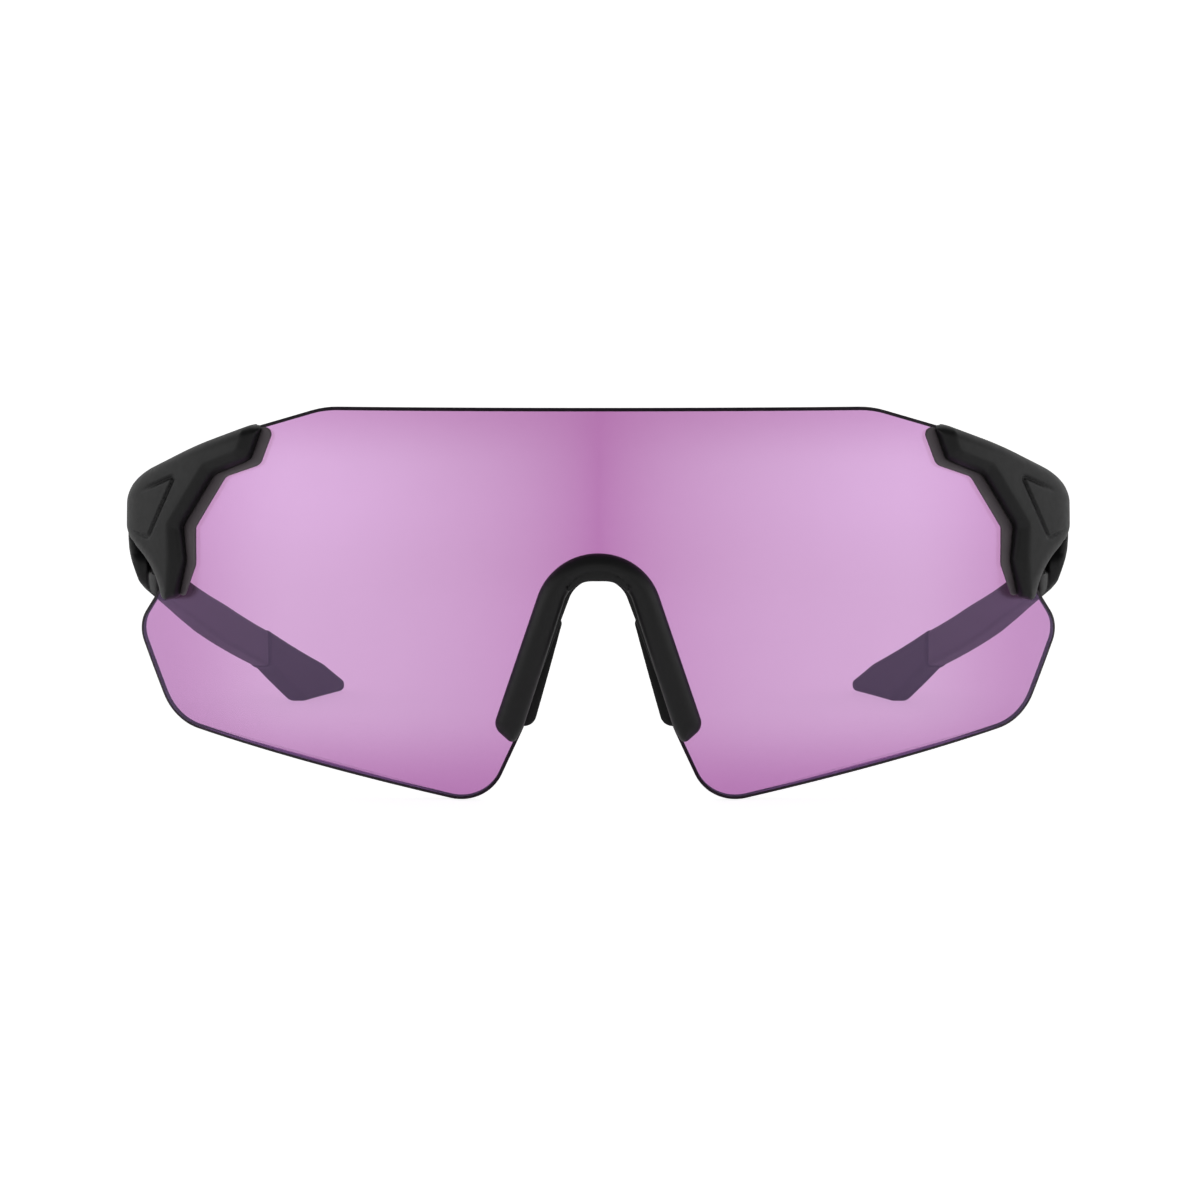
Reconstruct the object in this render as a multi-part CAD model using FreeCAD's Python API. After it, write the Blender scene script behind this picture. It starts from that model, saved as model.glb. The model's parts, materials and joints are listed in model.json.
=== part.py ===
import FreeCAD, Part
import math
import os
from FreeCAD import Vector

# Wraparound sport sunglasses: a one-piece spherical shield lens, held at each end
# between a front bracket, on a soft gasket, and a rear clip, with a nose frame and
# two folding temples.
#
# Millimetres. +Z is up, -Y is the way the wearer looks, +X is the wearer's left.
# The open glasses stand on z = 0, on the lens's two lower lobes and on the temple tips.
# Depth is the distance behind the lens's foremost point, so y = APEX_Y + depth.
# Every side piece is drawn on the wearer's left and mirrored for the right.

# ---------------------------------------------------------------- driving dimensions
LENS_RADIUS = 88.3          # front surface, a base-6 sphere
LENS_THICK = 2.0
OPTICAL_Z = 29.0            # height of the sphere's centre
LENS_TOP = 57.2
OVERALL_HALF_WIDTH = 73.0

SEAT_GAP = 0.05             # between faces that are clamped together
BEAD_HEIGHT = 2.4           # nose bead, proud of the lens
FLANGE_THICK = 1.2          # nose frame behind the lens
BRACKET_HEIGHT = 3.2        # bracket's main face, proud of the lens
BRACKET_EDGE_HEIGHT = 2.0   # the same face along the inboard edge
GROOVE_DEPTH = 0.4
GASKET_THICK = 0.55         # between the bracket and the lens
CLIP_THICK = 1.8

ARM_START_DEPTH = 45.0      # where the temple starts to bow inwards
ARM_INNER_X = 67.6
ARM_BOW_RADIUS = 398.0
ARM_THICK = 3.4
TIP_EXTRA = 0.25            # rubber tip, proud of the arm on each side
TIP_START_DEPTH = 126.5
TIP_END_DEPTH = 166.4

HINGE_X = 66.0
HINGE_DEPTH = 46.5
EAR_RADIUS = 2.7
SCREW_RADIUS = 0.8
RUNNING_GAP = 0.05          # radial, screw in knuckle
SIDE_GAP = 0.15             # axial, knuckle between the ears
EAR_LOW = (31.0, 33.8)      # z of the lower ear
EAR_HIGH = (39.2, 42.0)     # z of the upper ear
SKIN_INNER_X = 69.2         # inside of the temple's cover over the hinge
PARTING_GAP = 0.35          # bracket to temple, along the depth

CLIP_SCREW_POINTS = [(54.7, 50.3), (63.4, 42.2)]    # x, z on the lens's front
CLIP_HEAD_RADIUS = 1.2
SLEEVE_RADIUS = 1.15
INSERT_RADIUS = 1.2
INSERT_TOP = 1.7            # above the lens's front
HEAD_RADIUS = 1.4           # of the hinge screws
HEAD_HEIGHT = 0.7
SLOT_WIDTH = 0.45           # in the head of every screw
SLOT_DEPTH = 0.35
FIT_GAP = 0.02              # round a screw in its insert, and round an insert
CLEAR_GAP = 0.1             # round a screw that passes through, and round its head
SIDE_WALL_X = 69.3          # inside of the bracket's side wall

PAD_LEAN = Vector(0.12, 1.0, -0.04).normalize()     # a nose pad's way back from the lens
PAD_END_DEPTH = 13.0
PEG_RADIUS = 0.8
PEG_START = 2.8             # from the lens's front, along the pad's lean
PEG_END = 7.0
PEG_POINTS = [(7.75, 22.5), (9.7, 15.2)]

NOSE_ARCH_Z = 32.6          # underside of the bead's arch
WEB_LOW_Z = 31.2            # the web through the lens's notch stays above this
FAR = 200.0

bead_front_depth = LENS_RADIUS - math.sqrt(
    (LENS_RADIUS + BEAD_HEIGHT) ** 2 - (NOSE_ARCH_Z - OPTICAL_Z) ** 2
)
APEX_Y = -(TIP_END_DEPTH + bead_front_depth) / 2
SPHERE_CENTRE = Vector(0, APEX_Y + LENS_RADIUS, OPTICAL_Z)


# ---------------------------------------------------------------- drawing helpers
def front_point(x, z):
    return Vector(x, APEX_Y - 20, z)


def plan_point(x, depth):
    return Vector(x, APEX_Y + depth, 0)


def side_point(depth, z):
    return Vector(0, APEX_Y + depth, z)


def rounded_wire(corners, to_space):
    """A closed wire through (u, v, radius) corners, each rounded with its own arc."""
    count = len(corners)
    edges = []
    starts = []
    ends = []
    for i, (u, v, radius) in enumerate(corners):
        here = Vector(u, v, 0)
        before = Vector(*corners[i - 1][:2], 0) - here
        after = Vector(*corners[(i + 1) % count][:2], 0) - here
        if radius == 0:
            starts.append(here)
            ends.append(here)
            edges.append(None)
            continue
        before.normalize()
        after.normalize()
        half = before.getAngle(after) / 2
        reach = radius / math.tan(half)
        middle = (before + after).normalize()
        centre = here + middle * (radius / math.sin(half))
        starts.append(here + before * reach)
        ends.append(here + after * reach)
        top = centre - middle * radius
        flat = [to_space(p.x, p.y) for p in (starts[-1], top, ends[-1])]
        edges.append(Part.Arc(*flat).toShape())
    path = []
    for i in range(count):
        if edges[i] is not None:
            path.append(edges[i])
        a = to_space(ends[i].x, ends[i].y)
        b = to_space(starts[(i + 1) % count].x, starts[(i + 1) % count].y)
        if (a - b).Length > 1e-6:
            path.append(Part.LineSegment(a, b).toShape())
    return Part.Wire(Part.__sortEdges__(path))


def front_prism(corners):
    """Everything behind and in front of an (x, z, radius) outline."""
    wire = rounded_wire(corners, front_point)
    return Part.Face(wire).extrude(Vector(0, FAR, 0))


def plan_prism(corners, low, high):
    wire = rounded_wire(corners, plan_point)
    wire.translate(Vector(0, 0, low))
    return Part.Face(wire).extrude(Vector(0, 0, high - low))


def side_prism(corners, low, high):
    wire = rounded_wire(corners, side_point)
    wire.translate(Vector(low, 0, 0))
    return Part.Face(wire).extrude(Vector(high - low, 0, 0))


def block(x, depth, z):
    """A box from (low, high) pairs."""
    corner = Vector(x[0], APEX_Y + depth[0], z[0])
    return Part.makeBox(x[1] - x[0], depth[1] - depth[0], z[1] - z[0], corner)


def ball(height):
    """Everything within the lens sphere grown by height."""
    return Part.makeSphere(LENS_RADIUS + height, SPHERE_CENTRE)


def shell(low, high):
    """The layer between two heights above the lens's front, on the front half only."""
    front_half = block((-FAR, FAR), (-20, LENS_RADIUS), (-FAR, FAR))
    return ball(high).cut(ball(low)).common(front_half)


def both_sides(half):
    """A full outline from its right half, listed from the centre outwards and back."""
    return half + [(-x, z, r) for x, z, r in reversed(half)]


def mirrored(shape):
    return shape.mirror(Vector(0, 0, 0), Vector(1, 0, 0))


def tidy(shape):
    """One clean solid, or a compound where the piece really is several."""
    solids = shape.removeSplitter().Solids
    return solids[0] if len(solids) == 1 else Part.makeCompound(solids)


def lens_normal(x, z):
    """Foot on the lens's front and outward direction at a front-view point."""
    rise = z - OPTICAL_Z
    depth = LENS_RADIUS - math.sqrt(LENS_RADIUS**2 - x**2 - rise**2)
    foot = Vector(x, APEX_Y + depth, z)
    return foot, (foot - SPHERE_CENTRE).normalize()


def radial_cylinder(point, radius, low, high):
    """A cylinder along the lens normal, between two heights above its front."""
    foot, normal = lens_normal(*point)
    return Part.makeCylinder(radius, high - low, foot + normal * low, normal)


def hinge_cylinder(radius, low, high):
    base = Vector(HINGE_X, APEX_Y + HINGE_DEPTH, low)
    return Part.makeCylinder(radius, high - low, base, Vector(0, 0, 1))


# ---------------------------------------------------------------- outlines
def lens_outline(notch_gap=0.0, rim_gap=0.0):
    """Shield outline. notch_gap narrows the nose notch and rim_gap grows the ends."""
    g = notch_gap
    k = rim_gap
    return both_sides([
        (3.6 - g, 34.0 - g, 4.0),
        (10.75 - g, 11.2, 14.0),
        (16.3, -0.95, 6.85),
        (65.0, 9.0, 8.0),
        (70.9, 23.4, 5.0),
        (65.8 + k, 30.7, 0),
        (65.8 + k, 43.0 + k, 4.0),
        (62.4 + k, 49.2 + k, 4.0),
        (51.0 + k, 54.14 + k, 3.0),
        (40.4, LENS_TOP, 14.0),
    ])


BEAD_OUTLINE = both_sides([
    (6.65, 36.5, 9.2),
    (15.2, 11.2, 2.0),
    (12.3, 8.6, 0.8),
    (10.9, 11.0, 6.0),
    (3.95, NOSE_ARCH_Z, 4.2),
])
FLANGE_OUTLINE = both_sides([
    (5.9, 35.7, 7.8),
    (13.9, 11.6, 1.6),
    (11.6, 10.0, 0.8),
    (3.15, NOSE_ARCH_Z, 4.2),
])
PAD_OUTLINE = [(4.75, 27.3, 1.1), (8.95, 11.1, 1.8), (11.8, 11.1, 0.9), (8.0, 27.3, 1.1)]

# From the upper inboard tip, down the inboard edge, round the lower end, up the
# scooped lower edge to the side, and back over the top.
BRACKET_OUTLINE = [
    (49.35, 54.4, 0.8),
    (51.3, 49.15, 1.3),
    (57.2, 46.8, 1.6),
    (62.15, 39.1, 1.6),
    (61.45, 33.9, 3.0),
    (63.1, 28.3, 1.2),
    (65.9, 27.7, 0.9),
    (67.4, 33.2, 11.5),
    (74.0, 38.2, 0),
    (74.0, 42.7, 0),
    (69.2, 47.0, 12.0),
    (60.25, 51.3, 60.0),
    (51.7, 54.4, 2.0),
]
# The raised main face, inside the ridge that follows the inboard edge.
BRACKET_FACE = [
    (51.6, 57.0, 0),
    (53.7, 50.6, 1.5),
    (59.1, 48.5, 2.0),
    (65.05, 39.2, 2.0),
    (64.8, 34.0, 4.0),
    (65.2, 24.0, 0),
    (75.0, 24.0, 0),
    (75.0, 57.0, 0),
]
# A shallow groove in the main face, shaped like a V on its side.
GROOVE_OUTLINE = [
    (63.1, 47.1, 0.5),
    (67.95, 36.8, 0.5),
    (75.0, 38.9, 0),
    (75.0, 39.6, 0),
    (68.3, 37.55, 0.2),
    (64.0, 46.3, 0.2),
    (75.0, 42.1, 0),
    (75.0, 42.8, 0),
]
BRACKET_SIDE = [
    (-5.0, 60.0, 0),
    (34.0, 60.0, 0),
    (34.0, 46.4, 2.0),
    (38.5, 43.9, 6.0),
    (46.5 - PARTING_GAP, 43.9, 0),
    (40.5 - PARTING_GAP, 36.2, 0),
    (40.5 - PARTING_GAP, 20.0, 0),
    (-5.0, 20.0, 0),
]
# Gasket and clip share their outboard side, which follows the lens's end.
LENS_END = [
    (65.65, 29.6, 0.6),
    (65.65, 42.9, 4.0),
    (61.7, 48.45, 4.0),
    (50.75, 53.95, 3.0),
]
GASKET_OUTLINE = [
    (47.9, 54.2, 1.0),
    (50.0, 48.55, 1.6),
    (55.5, 46.65, 1.5),
    (60.4, 38.9, 1.2),
    (60.3, 33.4, 2.0),
    (62.2, 28.4, 0.7),
] + LENS_END
CLIP_OUTLINE = [
    (48.5, 54.1, 1.0),
    (50.5, 48.5, 1.6),
    (56.0, 46.6, 1.5),
    (61.0, 38.9, 1.2),
    (60.95, 33.5, 2.0),
    (62.7, 28.8, 0.7),
] + LENS_END

# Temple in side view, as (depth, z, radius).
TEMPLE_SIDE = [
    (46.5, 43.8, 0.5),
    (51.0, 43.8, 9.0),
    (64.0, 29.3, 25.0),
    (100.0, 21.6, 300.0),
    (TIP_START_DEPTH, 14.9, 0),
    (TIP_START_DEPTH, 8.5, 0),
    (72.0, 21.9, 300.0),
    (37.0, 28.3, 4.0),
    (36.6, 33.5, 2.5),
    (40.5, 36.1, 1.0),
]
# What the arm loses along its lower outer edge, as (x, z, radius) at the depth LEAN_DEPTH.
LEAN_OUTLINE = [
    (74.0, 39.6, 0),
    (70.85, 30.05, 2.0),
    (68.8, 27.4, 0),
    (68.8, 10.0, 0),
    (90.0, 10.0, 0),
    (90.0, 39.6, 0),
]
LEAN_DEPTH = 37.0
LEAN_FALL = 0.183           # how far the edge drops per millimetre backwards
TANG_SIDE = [
    (TIP_START_DEPTH - 0.5, 13.5, 0),
    (150.0, 6.9, 1.0),
    (149.4, 4.0, 1.0),
    (TIP_START_DEPTH - 0.5, 10.1, 0),
]
TIP_SIDE = [
    (TIP_START_DEPTH, 15.1, 0.6),
    (156.5, 6.2, 25.0),
    (TIP_END_DEPTH + 0.26, 2.0, 1.2),
    (TIP_END_DEPTH - 0.2, 0.0, 0.9),
    (147.0, 0.0, 4.0),
    (129.5, 7.6, 8.0),
    (TIP_START_DEPTH, 8.3, 0.6),
]
CORE_SIDE = [
    (80.0, 23.4, 0),
    (126.5, 12.5, 60.0),
    (157.0, 4.0, 0),
    (156.6, 2.5, 0),
    (126.1, 10.9, 60.0),
    (79.6, 21.8, 0),
]


# ---------------------------------------------------------------- front of the glasses
def make_lens():
    lens = front_prism(lens_outline()).common(shell(-LENS_THICK, 0))
    for point in CLIP_SCREW_POINTS:
        hole = radial_cylinder(point, SLEEVE_RADIUS + SEAT_GAP, -LENS_THICK - 2, 2)
        lens = lens.cut(hole).cut(mirrored(hole))
    return lens


def peg(point, radius, low, high):
    """A peg that leans back with the nose pads, between two distances from the lens's front."""
    foot, _ = lens_normal(*point)
    return Part.makeCylinder(radius, high - low, foot + PAD_LEAN * low, PAD_LEAN)


def make_nose_frame():
    rear = -LENS_THICK - SEAT_GAP
    bead = front_prism(BEAD_OUTLINE)
    front_bead = bead.common(shell(SEAT_GAP, BEAD_HEIGHT))
    web = bead.common(shell(rear - FLANGE_THICK, BEAD_HEIGHT))
    web = web.cut(front_prism(lens_outline(notch_gap=SEAT_GAP)))
    web = web.common(block((-20, 20), (-20, 40), (WEB_LOW_Z, 60.0)))
    flange = front_prism(FLANGE_OUTLINE).common(shell(rear - FLANGE_THICK, rear))
    frame = front_bead.fuse([web, flange])
    for point in PEG_POINTS:
        one = peg(point, PEG_RADIUS, PEG_START, PEG_END)
        frame = frame.fuse([one, mirrored(one)])
    return frame


def make_nose_pad():
    start_depth = 2.0
    wire = rounded_wire(PAD_OUTLINE, front_point)
    wire.translate(Vector(0, 20 + start_depth, 0))
    reach = (PAD_END_DEPTH - start_depth) / PAD_LEAN.y
    pad = Part.Face(wire).extrude(PAD_LEAN * reach)
    pad = pad.common(ball(-LENS_THICK - FLANGE_THICK - 2 * SEAT_GAP))
    for point in PEG_POINTS:
        pad = pad.cut(peg(point, PEG_RADIUS + 0.03, 0.0, PEG_END + SEAT_GAP))
    return pad


def hood(inset):
    """The bracket's outer form: the lens sphere grown, turning into a slightly flared side."""
    side_x = OVERALL_HALF_WIDTH - inset
    turn = plan_prism(
        [
            (20, -20, 0),
            (side_x - 9.6, 19.0, 0),
            (side_x - 0.75, 33.0, 12.0),
            (side_x, 48.0, 0),
            (side_x, 60.0, 0),
            (20, 60.0, 0),
        ],
        20,
        60,
    )
    return ball(BRACKET_HEIGHT - inset).common(turn)


def make_bracket():
    side = side_prism(BRACKET_SIDE, 0, 80)
    body = hood(0).common(front_prism(BRACKET_OUTLINE)).common(side)
    lowered = front_prism(BRACKET_OUTLINE).cut(front_prism(BRACKET_FACE))
    body = body.cut(lowered.cut(ball(BRACKET_EDGE_HEIGHT)))
    groove = front_prism(GROOVE_OUTLINE).common(block((60, 71.0), (10, 39.0), (30, 50)))
    body = body.cut(groove.cut(hood(GROOVE_DEPTH)))
    # Hollow behind the lens and clip, leaving a rim round the lens's end and a side wall.
    rim_back = -LENS_THICK - CLIP_THICK - SEAT_GAP
    inside = ball(rim_back).common(block((0, SIDE_WALL_X), (-20, 80), (0, 60)))
    pocket = front_prism(lens_outline(rim_gap=0.15)).common(ball(SEAT_GAP))
    gasket_room = front_prism(GASKET_OUTLINE).common(ball(GASKET_THICK + 2 * SEAT_GAP))
    body = body.cut(inside).cut(pocket).cut(gasket_room)
    # Room under the side wall for the temple's cover, which reaches forward there.
    body = body.cut(block((68.9, 80), (33.0, 60), (20, 36.4)))
    # Hinge: a block behind the lens's end, and two ears round the pivot.
    root_depth = (36.2, 42.3)
    ear_x = (HINGE_X - EAR_RADIUS, HINGE_X + EAR_RADIUS)
    body = body.fuse(block(ear_x, root_depth, (EAR_LOW[0], EAR_HIGH[1])))
    body = body.fuse(block((ear_x[1], 70.5), root_depth, (36.5, EAR_HIGH[1])).common(side))
    for low, high in (EAR_LOW, EAR_HIGH):
        strap = block(ear_x, (root_depth[0], HINGE_DEPTH), (low, high))
        body = body.fuse([strap, hinge_cylinder(EAR_RADIUS, low, high)])
    clip_room = front_prism(CLIP_OUTLINE).common(shell(-LENS_THICK - CLIP_THICK - 0.1, 0))
    body = body.cut(clip_room)
    # Bores for the hinge screw, its threaded insert and the clip inserts.
    body = body.cut(hinge_cylinder(SCREW_RADIUS + RUNNING_GAP, 25, 45))
    head_seat = EAR_HIGH[1] - HEAD_HEIGHT - CLEAR_GAP
    body = body.cut(hinge_cylinder(HEAD_RADIUS + CLEAR_GAP, head_seat, 45))
    insert_hole = INSERT_RADIUS + FIT_GAP
    body = body.cut(hinge_cylinder(insert_hole, EAR_LOW[0] - 1, EAR_LOW[1] - 0.4))
    for point in CLIP_SCREW_POINTS:
        body = body.cut(radial_cylinder(point, insert_hole, -1, INSERT_TOP + FIT_GAP))
    return body


def make_lens_gasket():
    """The soft strip between bracket and lens, which shows along the inboard edge."""
    layer = shell(SEAT_GAP, SEAT_GAP + GASKET_THICK)
    gasket = front_prism(GASKET_OUTLINE).common(layer)
    for point in CLIP_SCREW_POINTS:
        gasket = gasket.cut(radial_cylinder(point, SCREW_RADIUS + CLEAR_GAP, -1, 2))
    return gasket


def make_clip():
    back = -LENS_THICK - SEAT_GAP
    clip = front_prism(CLIP_OUTLINE).common(shell(back - CLIP_THICK + SEAT_GAP, back))
    for point in CLIP_SCREW_POINTS:
        clip = clip.cut(radial_cylinder(point, SCREW_RADIUS + CLEAR_GAP, -9, 1))
    return clip


def make_clip_screws():
    """Pan-head screws from behind, through clip and lens, into the bracket's inserts."""
    seat = -LENS_THICK - CLIP_THICK - SEAT_GAP
    screws = []
    for point in CLIP_SCREW_POINTS:
        shank = radial_cylinder(point, SCREW_RADIUS, seat - CLEAR_GAP, INSERT_TOP - CLEAR_GAP)
        head = radial_cylinder(point, CLIP_HEAD_RADIUS, seat - HEAD_HEIGHT, seat)
        foot, normal = lens_normal(*point)
        recess = Part.makeBox(2 * HEAD_RADIUS + 1, SLOT_WIDTH, SLOT_DEPTH)
        recess.translate(Vector(-HEAD_RADIUS - 0.5, -SLOT_WIDTH / 2, 0))
        turn = FreeCAD.Rotation(Vector(0, 0, 1), normal)
        recess.Placement = FreeCAD.Placement(foot + normal * (seat - HEAD_HEIGHT), turn).multiply(
            recess.Placement
        )
        screws.append(head.fuse(shank).cut(recess))
    return Part.makeCompound([tidy(s) for s in screws])


def make_lens_sleeves():
    """Soft bushes that keep the screws off the lens's holes."""
    rings = []
    for point in CLIP_SCREW_POINTS:
        ring = radial_cylinder(point, SLEEVE_RADIUS, -LENS_THICK, 0)
        rings.append(ring.cut(radial_cylinder(point, SCREW_RADIUS + 0.03, -4, 1)))
    return Part.makeCompound(rings)


def make_clip_inserts():
    rings = []
    for point in CLIP_SCREW_POINTS:
        ring = radial_cylinder(point, INSERT_RADIUS, GASKET_THICK + 2 * SEAT_GAP, INSERT_TOP)
        rings.append(ring.cut(radial_cylinder(point, SCREW_RADIUS + FIT_GAP, -1, 4)))
    return Part.makeCompound(rings)


# ---------------------------------------------------------------- hinge
def make_hinge_screw():
    top = EAR_HIGH[1]
    seat = top - HEAD_HEIGHT
    screw = hinge_cylinder(SCREW_RADIUS, EAR_LOW[0] + 0.3, seat + 0.1)
    screw = screw.fuse(hinge_cylinder(HEAD_RADIUS, seat, top))
    centre = APEX_Y + HINGE_DEPTH
    corner = Vector(HINGE_X - 2, centre - SLOT_WIDTH / 2, top - SLOT_DEPTH)
    return screw.cut(Part.makeBox(4, SLOT_WIDTH, SLOT_DEPTH + 0.05, corner))


def make_hinge_insert():
    ring = hinge_cylinder(INSERT_RADIUS, EAR_LOW[0], EAR_LOW[1] - 0.45)
    return ring.cut(hinge_cylinder(SCREW_RADIUS + FIT_GAP, 25, 45))


# ---------------------------------------------------------------- temple
def bow_x(offset, depth):
    """X on the arm's bow, offset outwards from its inner face."""
    radius = ARM_BOW_RADIUS + offset
    return ARM_INNER_X - ARM_BOW_RADIUS + math.sqrt(radius**2 - (depth - ARM_START_DEPTH) ** 2)


def bow_layer(inner, outer, start, end):
    """The curved layer between two offsets from the arm's inner face, in plan."""
    middle = (start + end) / 2
    inside = [plan_point(bow_x(inner, d), d) for d in (start, middle, end)]
    outside = [plan_point(bow_x(outer, d), d) for d in (end, middle, start)]
    wire = Part.Wire([
        Part.Arc(*inside).toShape(),
        Part.LineSegment(inside[2], outside[0]).toShape(),
        Part.Arc(*outside).toShape(),
        Part.LineSegment(outside[2], inside[0]).toShape(),
    ])
    wire.translate(Vector(0, 0, -20))
    return Part.Face(wire).extrude(Vector(0, 0, 100))


def temple_plan():
    """Plan of the arm: a straight-sided root that narrows on to the bowed arm."""
    merge = 85.0
    root = plan_prism(
        [
            (ARM_INNER_X - 0.1, 30.0, 0),
            (OVERALL_HALF_WIDTH, 30.0, 0),
            (OVERALL_HALF_WIDTH, 52.2, 35.0),
            (bow_x(ARM_THICK, merge), merge, 0),
            (bow_x(1.0, merge), merge, 0),
            (ARM_INNER_X - 0.1, 60.0, 0),
        ],
        -20,
        80,
    )
    root = root.cut(bow_layer(-30, 0, 45.5, 100.0))
    return root.fuse(bow_layer(0, ARM_THICK, 60.0, 160.0))


def core_bar(extra):
    layer = bow_layer(1.2 - extra, 2.2 + extra, 75.0, 160.0)
    bar = side_prism(CORE_SIDE, 0, 80)
    if extra:
        grown = [(0, extra), (0, -extra)]
        bar = bar.fuse([bar.translated(Vector(0, d, z)) for d, z in grown])
    return bar.common(layer)


def edge_lean():
    """What leans the arm's lower outer edge in, most at the root."""
    reach = 60.0
    wire = rounded_wire(LEAN_OUTLINE, front_point)
    wire.translate(Vector(0, 20 + LEAN_DEPTH - 5, 5 * LEAN_FALL))
    return Part.Face(wire).extrude(Vector(0, reach, -LEAN_FALL * reach))


def make_temple():
    body = temple_plan().common(side_prism(TEMPLE_SIDE, 0, 80)).cut(edge_lean())
    # Room for the bracket's hinge, inside the cover.
    body = body.cut(block((50, SKIN_INNER_X), (20, HINGE_DEPTH + EAR_RADIUS + 0.35), (20, 60)))
    tang = bow_layer(0.9, 2.5, 120.0, 160.0).common(side_prism(TANG_SIDE, 0, 80))
    knuckle_z = (EAR_LOW[1] + SIDE_GAP, EAR_HIGH[0] - SIDE_GAP)
    knuckle = hinge_cylinder(EAR_RADIUS, *knuckle_z)
    web_depth = (HINGE_DEPTH - EAR_RADIUS, HINGE_DEPTH + 6.0)
    web = block((HINGE_X, SKIN_INNER_X + 0.5), web_depth, knuckle_z)
    body = body.fuse([tang, knuckle, web])
    body = body.cut(hinge_cylinder(SCREW_RADIUS + RUNNING_GAP, 30, 45))
    return body.cut(core_bar(0.03))


def make_temple_core():
    return core_bar(0)


def make_temple_tip():
    layer = bow_layer(-TIP_EXTRA, ARM_THICK + TIP_EXTRA, 120.0, 170.0)
    tip = layer.common(side_prism(TIP_SIDE, 0, 80))
    room = bow_layer(0.87, 2.53, 120.0, 150.03).common(side_prism(TANG_SIDE, 0, 80))
    return tip.cut(room).cut(core_bar(0.03))


# ---------------------------------------------------------------- export
def save(name, shape):
    shape = tidy(shape)
    if not shape.isValid():
        raise RuntimeError(name + " is not a valid shape")
    shape.exportStep("parts/" + name + ".step")
    print(name, len(shape.Solids), "solid(s)", round(shape.Volume, 1), "mm3")
    return shape


def main():
    os.makedirs("parts", exist_ok=True)
    pieces = {"lens": make_lens(), "nose_frame": make_nose_frame()}
    one_side = {
        "nose_pad": make_nose_pad(),
        "bracket": make_bracket(),
        "lens_gasket": make_lens_gasket(),
        "lens_clip": make_clip(),
        "clip_screws": make_clip_screws(),
        "lens_sleeves": make_lens_sleeves(),
        "clip_inserts": make_clip_inserts(),
        "hinge_screw": make_hinge_screw(),
        "hinge_insert": make_hinge_insert(),
        "temple": make_temple(),
        "temple_core": make_temple_core(),
        "temple_tip": make_temple_tip(),
    }
    for name, shape in one_side.items():
        pieces["left_" + name] = shape
        pieces["right_" + name] = mirrored(shape)
    saved = [save(name, shape) for name, shape in pieces.items()]
    whole = Part.makeCompound(saved).optimalBoundingBox(False)
    print("x", round(whole.XMin, 2), round(whole.XMax, 2))
    print("y", round(whole.YMin, 2), round(whole.YMax, 2))
    print("z", round(whole.ZMin, 2), round(whole.ZMax, 2))


main()
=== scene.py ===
import json
import math

import bpy
import numpy as np
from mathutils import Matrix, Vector
from mathutils.geometry import delaunay_2d_cdt

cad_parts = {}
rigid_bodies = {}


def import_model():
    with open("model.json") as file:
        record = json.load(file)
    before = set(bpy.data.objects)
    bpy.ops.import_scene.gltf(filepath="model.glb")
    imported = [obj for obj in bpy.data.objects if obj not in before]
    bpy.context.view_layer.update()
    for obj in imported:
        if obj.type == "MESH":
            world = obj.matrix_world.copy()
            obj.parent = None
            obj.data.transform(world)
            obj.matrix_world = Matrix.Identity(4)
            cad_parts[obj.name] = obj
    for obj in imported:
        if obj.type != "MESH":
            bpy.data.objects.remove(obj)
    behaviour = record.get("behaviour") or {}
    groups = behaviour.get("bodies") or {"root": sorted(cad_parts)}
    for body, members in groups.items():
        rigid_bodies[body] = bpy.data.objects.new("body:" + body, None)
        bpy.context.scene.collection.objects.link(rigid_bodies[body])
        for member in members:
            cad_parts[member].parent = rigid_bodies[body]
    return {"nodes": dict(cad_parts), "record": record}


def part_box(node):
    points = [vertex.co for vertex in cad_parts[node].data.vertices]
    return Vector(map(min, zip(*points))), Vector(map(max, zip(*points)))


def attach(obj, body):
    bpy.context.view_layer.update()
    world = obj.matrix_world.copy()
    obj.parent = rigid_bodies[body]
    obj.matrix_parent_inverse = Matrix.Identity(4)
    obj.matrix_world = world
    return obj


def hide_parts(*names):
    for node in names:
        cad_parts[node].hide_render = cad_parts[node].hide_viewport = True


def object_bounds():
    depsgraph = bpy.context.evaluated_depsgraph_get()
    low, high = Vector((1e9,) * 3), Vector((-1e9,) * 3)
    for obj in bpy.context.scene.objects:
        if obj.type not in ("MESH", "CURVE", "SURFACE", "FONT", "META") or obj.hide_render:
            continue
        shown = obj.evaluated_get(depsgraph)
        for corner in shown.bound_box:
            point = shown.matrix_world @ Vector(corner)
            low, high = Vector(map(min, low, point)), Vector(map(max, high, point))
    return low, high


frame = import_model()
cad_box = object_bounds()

# Wraparound sport sunglasses. Shapes are worked out in millimetres, as (x, depth, z):
# depth is the distance behind the foremost point of the lens's sphere, and z is above
# the table. The temples' hinge axis ties depth to the frame's y.
# Each moulded piece is a distance field, negative inside, that is turned into a mesh.
# Side pieces are worked out on the wearer's left, +x, and mirrored for the right.

MM = 0.001

# ---------------------------------------------------------------- sizes
HALF_WIDTH = cad_box[1][0] / MM
LENS_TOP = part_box("lens")[1][2] / MM
LENS_RADIUS = 88.3
LENS_THICK = 2.0
OPTICAL_Z = 29.0
EDGE_BEVEL = 0.5
LENS_GRID = 1.3             # spacing of the lens's mesh
LENS_RIM_STEP = 0.8         # the same along its outline
HOLE_SIDES = 32
SHARP_ANGLE = 25

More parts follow.
